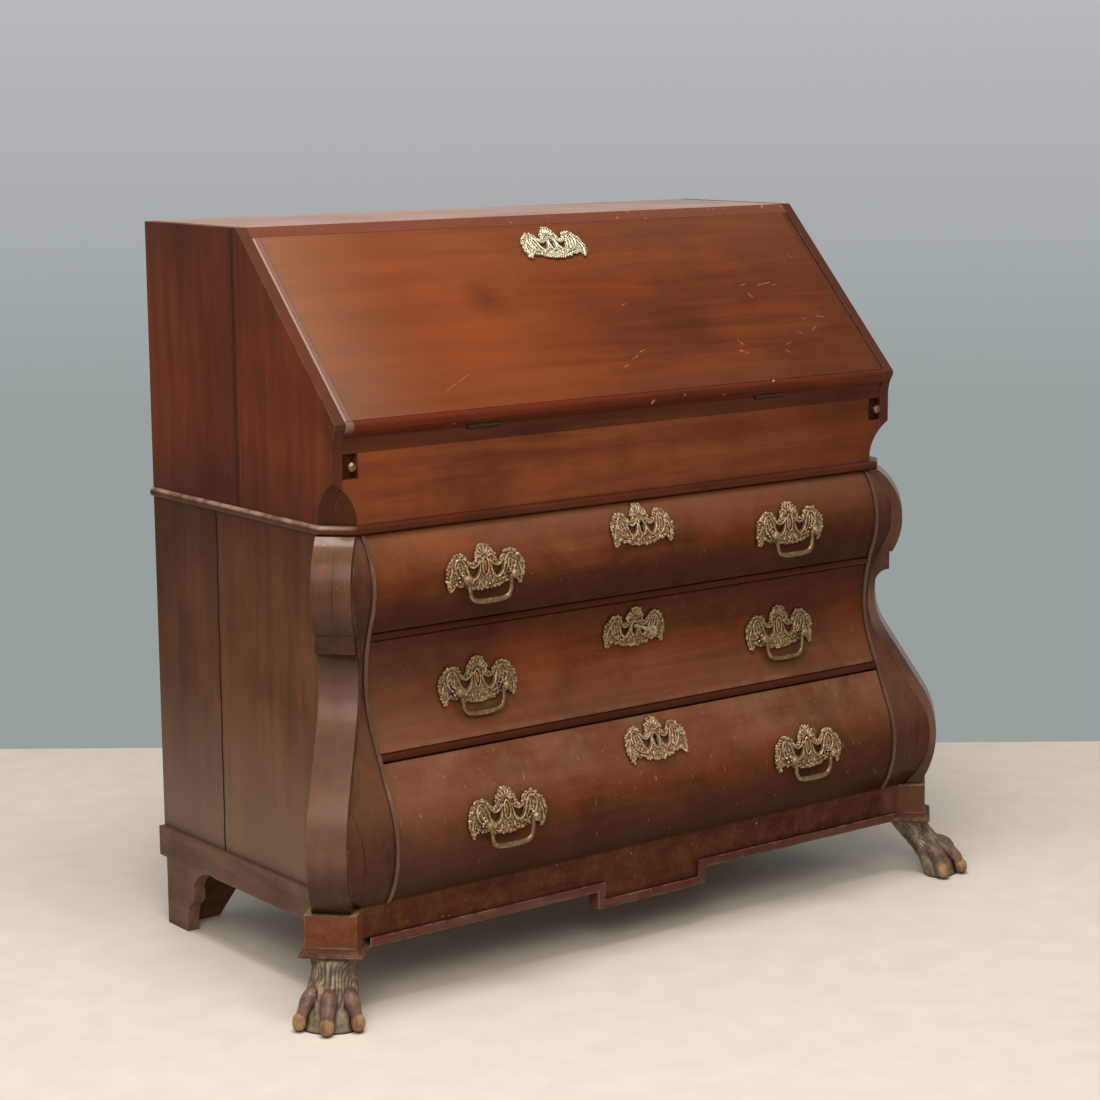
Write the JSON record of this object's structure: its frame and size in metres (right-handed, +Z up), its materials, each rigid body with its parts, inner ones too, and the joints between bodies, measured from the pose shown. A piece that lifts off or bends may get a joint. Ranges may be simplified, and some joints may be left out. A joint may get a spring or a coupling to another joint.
{
  "type": "fall-front bureau",
  "caption": "Slant-front writing bureau with a hinged fall on sliding lopers above bombe drawers with brass bail pulls, canted corners and carved paw feet.",
  "frame": {"origin": "on the floor under the middle of the whole piece, paw feet included", "axes": "+X to the right as seen from the front, -Y to the front, +Z up"},
  "size_m": [1.3466, 0.6443, 1.104],
  "materials": {
    "case_mahogany": "worn wax polish",
    "drawer_mahogany": "worn wax polish",
    "fall_mahogany": "scuffed wax polish",
    "red_mahogany": "worn wax polish",
    "carved_wood": "dull, worn on the ridges",
    "inner_oak": "bare, dry",
    "gallery_wood": "thin polish",
    "old_brass": "old cast brass, dull",
    "iron": "dull iron"
  },
  "bodies": {
    "carcase": {"lower_side_left": "case_mahogany", "lower_side_right": "case_mahogany", "lower_back_planks": "inner_oak", "bottom_board": "inner_oak", "corner_pilasters": "case_mahogany", "front_stiles": "case_mahogany", "stile_beads": "case_mahogany", "drawer_rails": "case_mahogany", "drawer_runners": "inner_oak", "waist_moulding": "case_mahogany", "waist_board": "inner_oak", "plinth_front": "case_mahogany", "plinth_lower_mouldings": "case_mahogany", "plinth_side_left": "case_mahogany", "plinth_side_right": "case_mahogany", "plinth_back": "inner_oak", "plinth_corner_blocks": "case_mahogany", "paw_foot_left": "carved_wood", "paw_foot_right": "carved_wood", "upper_side_left": "case_mahogany", "upper_side_right": "case_mahogany", "top_board": "case_mahogany", "upper_back_planks": "inner_oak", "writing_board": "gallery_wood", "false_panel": "case_mahogany", "loper_fillers": "case_mahogany", "well_walls": "inner_oak", "gallery_boards": "gallery_wood", "fall_stops": "case_mahogany", "desk_hinge_leaves": "old_brass"},
    "fall": {"fall_panel": "fall_mahogany", "fall_mouldings": "red_mahogany", "fall_hinge_leaves": "old_brass", "fall_lock": "old_brass", "fall_escutcheon": "old_brass"},
    "loper_left": {"loper_left": "case_mahogany", "loper_knob_left": "old_brass"},
    "loper_right": {"loper_right": "case_mahogany", "loper_knob_right": "old_brass"},
    "well_cover": {"well_cover": "gallery_wood"},
    "small_drawer_1": {"small_drawer_1": "gallery_wood"},
    "small_drawer_2": {"small_drawer_2": "gallery_wood"},
    "small_drawer_3": {"small_drawer_3": "gallery_wood"},
    "drawer_1": {"drawer_1_front": "drawer_mahogany", "drawer_1_box": "inner_oak", "drawer_1_mounts": "old_brass"},
    "drawer_1_bail_left": {"drawer_1_bail_left": "old_brass"},
    "drawer_1_bail_right": {"drawer_1_bail_right": "old_brass"},
    "drawer_2": {"drawer_2_front": "drawer_mahogany", "drawer_2_box": "inner_oak", "drawer_2_mounts": "old_brass"},
    "drawer_2_bail_left": {"drawer_2_bail_left": "old_brass"},
    "drawer_2_bail_right": {"drawer_2_bail_right": "old_brass"},
    "drawer_3": {"drawer_3_front": "drawer_mahogany", "drawer_3_box": "inner_oak", "drawer_3_mounts": "old_brass"},
    "drawer_3_bail_left": {"drawer_3_bail_left": "old_brass"},
    "drawer_3_bail_right": {"drawer_3_bail_right": "old_brass"},
    "key": {"key": "iron"}
  },
  "joints": [
    {"name": "fall_hinge", "type": "hinge", "parent": "carcase", "child": "fall", "pos_m": [0, -0.1885, 0.8205], "axis": [1, 0, 0], "range_deg": [0, 133.9]},
    {"name": "loper_left_slide", "type": "slide", "parent": "carcase", "child": "loper_left", "axis": [0, -1, 0], "range_m": [0, 0.28]},
    {"name": "loper_right_slide", "type": "slide", "parent": "carcase", "child": "loper_right", "axis": [0, -1, 0], "range_m": [0, 0.28]},
    {"name": "well_cover_slide", "type": "slide", "parent": "carcase", "child": "well_cover", "axis": [0, 1, 0], "range_m": [0, 0.15]},
    {"name": "small_drawer_1_slide", "type": "slide", "parent": "carcase", "child": "small_drawer_1", "axis": [0, -1, 0], "range_m": [0, 0.14]},
    {"name": "small_drawer_2_slide", "type": "slide", "parent": "carcase", "child": "small_drawer_2", "axis": [0, -1, 0], "range_m": [0, 0.14]},
    {"name": "small_drawer_3_slide", "type": "slide", "parent": "carcase", "child": "small_drawer_3", "axis": [0, -1, 0], "range_m": [0, 0.14]},
    {"name": "drawer_1_slide", "type": "slide", "parent": "carcase", "child": "drawer_1", "axis": [0, -1, 0], "range_m": [0, 0.35]},
    {"name": "drawer_2_slide", "type": "slide", "parent": "carcase", "child": "drawer_2", "axis": [0, -1, 0], "range_m": [0, 0.35]},
    {"name": "drawer_3_slide", "type": "slide", "parent": "carcase", "child": "drawer_3", "axis": [0, -1, 0], "range_m": [0, 0.35]},
    {"name": "drawer_1_bail_left_hinge", "type": "hinge", "parent": "drawer_1", "child": "drawer_1_bail_left", "pos_m": [-0.298, -0.2303, 0.604], "axis": [-1, 0, 0], "range_deg": [0, 85]},
    {"name": "drawer_1_bail_right_hinge", "type": "hinge", "parent": "drawer_1", "child": "drawer_1_bail_right", "pos_m": [0.298, -0.2303, 0.604], "axis": [-1, 0, 0], "range_deg": [0, 85]},
    {"name": "drawer_2_bail_left_hinge", "type": "hinge", "parent": "drawer_2", "child": "drawer_2_bail_left", "pos_m": [-0.298, -0.20719, 0.434], "axis": [-1, 0, 0], "range_deg": [0, 85]},
    {"name": "drawer_2_bail_right_hinge", "type": "hinge", "parent": "drawer_2", "child": "drawer_2_bail_right", "pos_m": [0.298, -0.20719, 0.434], "axis": [-1, 0, 0], "range_deg": [0, 85]},
    {"name": "drawer_3_bail_left_hinge", "type": "hinge", "parent": "drawer_3", "child": "drawer_3_bail_left", "pos_m": [-0.298, -0.27832, 0.2495], "axis": [-1, 0, 0], "range_deg": [0, 85]},
    {"name": "drawer_3_bail_right_hinge", "type": "hinge", "parent": "drawer_3", "child": "drawer_3_bail_right", "pos_m": [0.298, -0.27832, 0.2495], "axis": [-1, 0, 0], "range_deg": [0, 85]},
    {"name": "key_turn", "type": "hinge", "parent": "drawer_2", "child": "key", "pos_m": [0, -0.1885, 0.487], "axis": [0, -1, 0], "range_deg": [0, 90]}
  ]
}
